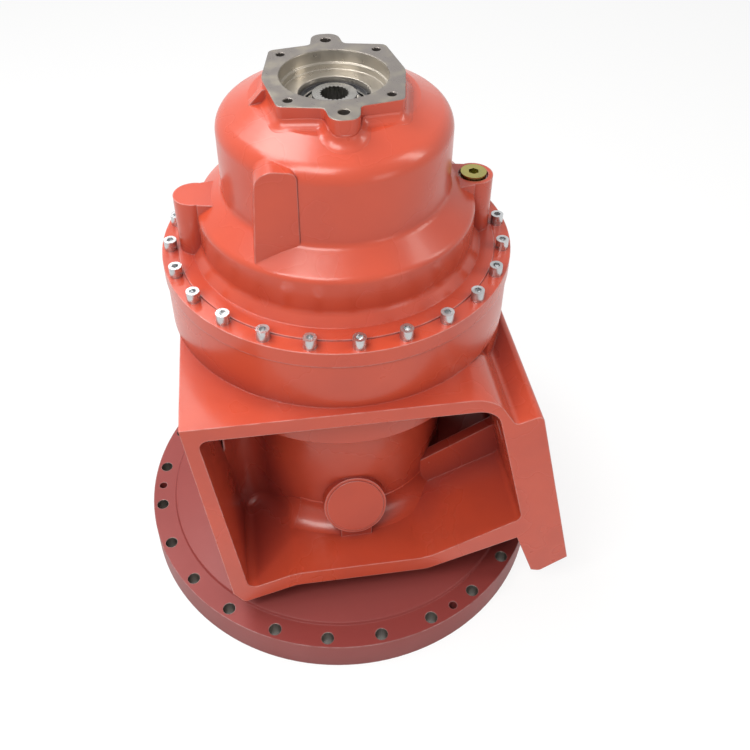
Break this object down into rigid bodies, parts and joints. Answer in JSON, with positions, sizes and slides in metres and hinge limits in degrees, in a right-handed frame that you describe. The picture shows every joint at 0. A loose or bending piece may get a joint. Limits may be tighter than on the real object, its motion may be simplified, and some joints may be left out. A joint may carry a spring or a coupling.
{
  "type": "concrete mixer drum gearbox",
  "caption": "Planetary gearbox that turns a concrete mixer drum: pedestal-frame case, bolted cover with a motor pad, and a wide round drum flange on the output.",
  "frame": {"origin": "centre of the drum bolt circle, on the flange face that meets the drum", "axes": "+Z along the drum axis from the drum flange to the motor pad, +X towards the pedestal foot, -Y towards the badge side"},
  "size_m": [0.61, 0.61, 0.762],
  "materials": {
    "gearbox_paint": "glossy red-orange paint over cast iron",
    "zinc_screw": "bright zinc plating",
    "plug_zinc": "yellow zinc plating",
    "washer_metal": "soft metal washer",
    "bare_iron": "machined cast iron",
    "seal_rubber": "smooth",
    "dark_screw": "blackened steel",
    "bare_steel": "turned and oiled",
    "bearing_steel": "ground",
    "cage_brass": "machined",
    "gear_steel": "ground and oiled",
    "carrier_iron": "machined"
  },
  "bodies": {
    "housing": {"gear_housing": "gearbox_paint", "motor_cover": "gearbox_paint", "cover_screws": "zinc_screw", "drain_plug": "plug_zinc", "plug_washer": "washer_metal", "ring_gear_one": "gear_steel", "ring_gear_two": "gear_steel", "ring_gear_three": "gear_steel", "input_bearing_outer_ring": "bearing_steel", "input_snap_ring": "dark_screw", "output_bearing_outer_ring": "bearing_steel", "seal_carrier": "bare_iron", "output_seal": "seal_rubber", "seal_screws": "dark_screw"},
    "output": {"drum_flange": "gearbox_paint", "output_shaft": "bare_steel", "carrier_three": "carrier_iron", "planet_pins_three": "bearing_steel", "output_bearing_inner_ring": "bearing_steel", "bearing_nut": "bare_steel", "bearing_spacer": "bare_steel", "retaining_plate": "bare_steel", "retaining_screws": "dark_screw"},
    "output_cage": {"output_rollers": "bearing_steel", "output_roller_cage": "cage_brass"},
    "second_stage": {"carrier_two": "carrier_iron", "planet_pins_two": "bearing_steel", "sun_gear_three": "gear_steel"},
    "first_stage": {"carrier_one": "carrier_iron", "planet_pins_one": "bearing_steel", "sun_gear_two": "gear_steel"},
    "input": {"input_hub": "bare_steel", "sun_gear_one": "gear_steel", "input_bearing_inner_ring": "bearing_steel"},
    "input_cage": {"input_balls": "bearing_steel", "input_ball_cage": "cage_brass"},
    "planet_one_a_gear": {"planet_one_a": "gear_steel"},
    "planet_one_b_gear": {"planet_one_b": "gear_steel"},
    "planet_one_c_gear": {"planet_one_c": "gear_steel"},
    "planet_two_a_gear": {"planet_two_a": "gear_steel"},
    "planet_two_b_gear": {"planet_two_b": "gear_steel"},
    "planet_two_c_gear": {"planet_two_c": "gear_steel"},
    "planet_three_a_gear": {"planet_three_a": "gear_steel"},
    "planet_three_b_gear": {"planet_three_b": "gear_steel"},
    "planet_three_c_gear": {"planet_three_c": "gear_steel"}
  },
  "joints": [
    {"name": "drum_spin", "type": "hinge", "parent": "housing", "child": "output", "pos_m": [0, 0, 0.23], "axis": [0, 0, 1], "continuous": true},
    {"name": "output_cage_spin", "type": "hinge", "parent": "housing", "child": "output_cage", "pos_m": [0, 0, 0.23], "axis": [0, 0, 1], "continuous": true},
    {"name": "second_stage_spin", "type": "hinge", "parent": "housing", "child": "second_stage", "pos_m": [0, 0, 0.519], "axis": [0, 0, 1], "continuous": true},
    {"name": "first_stage_spin", "type": "hinge", "parent": "housing", "child": "first_stage", "pos_m": [0, 0, 0.625], "axis": [0, 0, 1], "continuous": true},
    {"name": "input_spin", "type": "hinge", "parent": "housing", "child": "input", "pos_m": [0, 0, 0.72], "axis": [0, 0, 1], "continuous": true},
    {"name": "input_cage_spin", "type": "hinge", "parent": "housing", "child": "input_cage", "pos_m": [0, 0, 0.7195], "axis": [0, 0, 1], "continuous": true},
    {"name": "planet_one_a_spin", "type": "hinge", "parent": "first_stage", "child": "planet_one_a_gear", "pos_m": [0.066, 0, 0.66], "axis": [0, 0, 1], "continuous": true},
    {"name": "planet_one_b_spin", "type": "hinge", "parent": "first_stage", "child": "planet_one_b_gear", "pos_m": [-0.033, 0.05716, 0.66], "axis": [0, 0, 1], "continuous": true},
    {"name": "planet_one_c_spin", "type": "hinge", "parent": "first_stage", "child": "planet_one_c_gear", "pos_m": [-0.033, -0.05716, 0.66], "axis": [0, 0, 1], "continuous": true},
    {"name": "planet_two_a_spin", "type": "hinge", "parent": "second_stage", "child": "planet_two_a_gear", "pos_m": [0.08775, 0, 0.559], "axis": [0, 0, 1], "continuous": true},
    {"name": "planet_two_b_spin", "type": "hinge", "parent": "second_stage", "child": "planet_two_b_gear", "pos_m": [-0.04387, 0.07599, 0.559], "axis": [0, 0, 1], "continuous": true},
    {"name": "planet_two_c_spin", "type": "hinge", "parent": "second_stage", "child": "planet_two_c_gear", "pos_m": [-0.04387, -0.07599, 0.559], "axis": [0, 0, 1], "continuous": true},
    {"name": "planet_three_a_spin", "type": "hinge", "parent": "output", "child": "planet_three_a_gear", "pos_m": [0.1155, 0, 0.466], "axis": [0, 0, 1], "continuous": true},
    {"name": "planet_three_b_spin", "type": "hinge", "parent": "output", "child": "planet_three_b_gear", "pos_m": [-0.05775, 0.10003, 0.466], "axis": [0, 0, 1], "continuous": true},
    {"name": "planet_three_c_spin", "type": "hinge", "parent": "output", "child": "planet_three_c_gear", "pos_m": [-0.05775, -0.10003, 0.466], "axis": [0, 0, 1], "continuous": true}
  ],
  "couplings": [
    {"joint": "output_cage_spin", "follows": "drum_spin", "ratio": 0.44375},
    {"joint": "second_stage_spin", "follows": "drum_spin", "ratio": 4.4},
    {"joint": "first_stage_spin", "follows": "drum_spin", "ratio": 22.88},
    {"joint": "input_spin", "follows": "drum_spin", "ratio": 125.84},
    {"joint": "input_cage_spin", "follows": "drum_spin", "ratio": 52.272},
    {"joint": "planet_three_a_spin", "follows": "drum_spin", "ratio": -2.8333},
    {"joint": "planet_three_b_spin", "follows": "drum_spin", "ratio": -2.8333},
    {"joint": "planet_three_c_spin", "follows": "drum_spin", "ratio": -2.8333},
    {"joint": "planet_two_a_spin", "follows": "drum_spin", "ratio": -11.55},
    {"joint": "planet_two_b_spin", "follows": "drum_spin", "ratio": -11.55},
    {"joint": "planet_two_c_spin", "follows": "drum_spin", "ratio": -11.55},
    {"joint": "planet_one_a_spin", "follows": "drum_spin", "ratio": -58.834},
    {"joint": "planet_one_b_spin", "follows": "drum_spin", "ratio": -58.834},
    {"joint": "planet_one_c_spin", "follows": "drum_spin", "ratio": -58.834}
  ]
}
